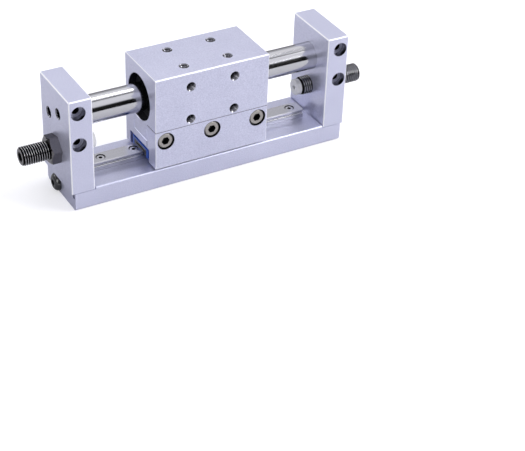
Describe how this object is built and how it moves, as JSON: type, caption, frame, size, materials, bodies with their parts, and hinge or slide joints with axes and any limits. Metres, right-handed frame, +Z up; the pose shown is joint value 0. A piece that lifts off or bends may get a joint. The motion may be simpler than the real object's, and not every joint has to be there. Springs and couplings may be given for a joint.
{
  "type": "magnetic rodless cylinder",
  "caption": "Magnetically coupled rodless cylinder with a guided slider on a profile rail, end plates and adjustable stops",
  "frame": {"origin": "On the base's underside, midway between the end plates along the stroke, and on the common centre plane of the tube, the rail and the adjusting bolts", "axes": "+X along the stroke, to the right when the slider's clamp screws are in front; +Y to the back; +Z up from the base to the slider's top"},
  "size_m": [0.1583, 0.0295, 0.0518],
  "materials": {
    "anodised_aluminium": "clear anodised over a fine bead-blasted surface, satin",
    "polished_tube": "polished",
    "ground_steel": "ground, fine lines",
    "screw_steel": "turned, half bright",
    "dark_steel": "dark, half bright",
    "dark_ring": "black, smooth",
    "magnet_alloy": "plated, plain",
    "black_rubber": "matt",
    "bearing_plastic": "plain",
    "blue_plastic": "moulded, half gloss",
    "pale_urethane": "moulded, slightly translucent"
  },
  "bodies": {
    "frame": {"base_plate": "anodised_aluminium", "left_end_plate": "anodised_aluminium", "right_end_plate": "anodised_aluminium", "cylinder_tube": "polished_tube", "tube_gaskets": "black_rubber", "guide_rail": "ground_steel", "rail_screws": "ground_steel", "base_screws": "screw_steel", "duct_plugs": "dark_steel", "left_lock_nut": "dark_steel", "right_lock_nut": "dark_steel"},
    "slider": {"magnet_housing": "anodised_aluminium", "guide_table": "anodised_aluminium", "front_clamp_plate": "anodised_aluminium", "clamp_screws": "screw_steel", "outer_magnets": "magnet_alloy", "outer_yokes": "ground_steel", "slider_end_rings": "dark_ring", "slider_scrapers": "black_rubber", "slider_wear_rings": "bearing_plastic", "guide_block_left": "ground_steel", "guide_block_right": "ground_steel", "block_end_caps": "blue_plastic", "block_end_seals": "black_rubber", "block_screws": "screw_steel"},
    "piston": {"piston_shaft": "ground_steel", "piston_magnets": "magnet_alloy", "piston_yokes": "ground_steel", "left_piston_end": "anodised_aluminium", "right_piston_end": "anodised_aluminium", "piston_seals": "black_rubber", "piston_wear_rings": "bearing_plastic", "piston_bumpers": "pale_urethane"},
    "left_stop": {"left_stop_bumper": "pale_urethane"},
    "left_adjuster": {"left_adjusting_bolt": "dark_steel"},
    "right_stop": {"right_stop_bumper": "pale_urethane"},
    "right_adjuster": {"right_adjusting_bolt": "dark_steel"}
  },
  "joints": [
    {"name": "slider_slide", "type": "slide", "parent": "frame", "child": "slider", "axis": [1, 0, 0], "range_m": [-0.0207, 0.022]},
    {"name": "piston_slide", "type": "slide", "parent": "frame", "child": "piston", "axis": [1, 0, 0], "range_m": [-0.0207, 0.022]},
    {"name": "left_bolt_feed", "type": "slide", "parent": "frame", "child": "left_stop", "axis": [-1, 0, 0], "range_m": [0, 0.006]},
    {"name": "left_bolt_turn", "type": "hinge", "parent": "left_stop", "child": "left_adjuster", "pos_m": [-0.064, 0, 0.0229], "axis": [-1, 0, 0], "range_deg": [0, 1080]},
    {"name": "right_bolt_feed", "type": "slide", "parent": "frame", "child": "right_stop", "axis": [1, 0, 0], "range_m": [0, 0.006]},
    {"name": "right_bolt_turn", "type": "hinge", "parent": "right_stop", "child": "right_adjuster", "pos_m": [0.064, 0, 0.0229], "axis": [1, 0, 0], "range_deg": [0, 1080]}
  ],
  "couplings": [
    {"joint": "piston_slide", "follows": "slider_slide", "ratio": 1},
    {"joint": "left_bolt_feed", "follows": "left_bolt_turn", "m_per_rad": 0.00015915},
    {"joint": "right_bolt_feed", "follows": "right_bolt_turn", "m_per_rad": 0.00015915}
  ]
}
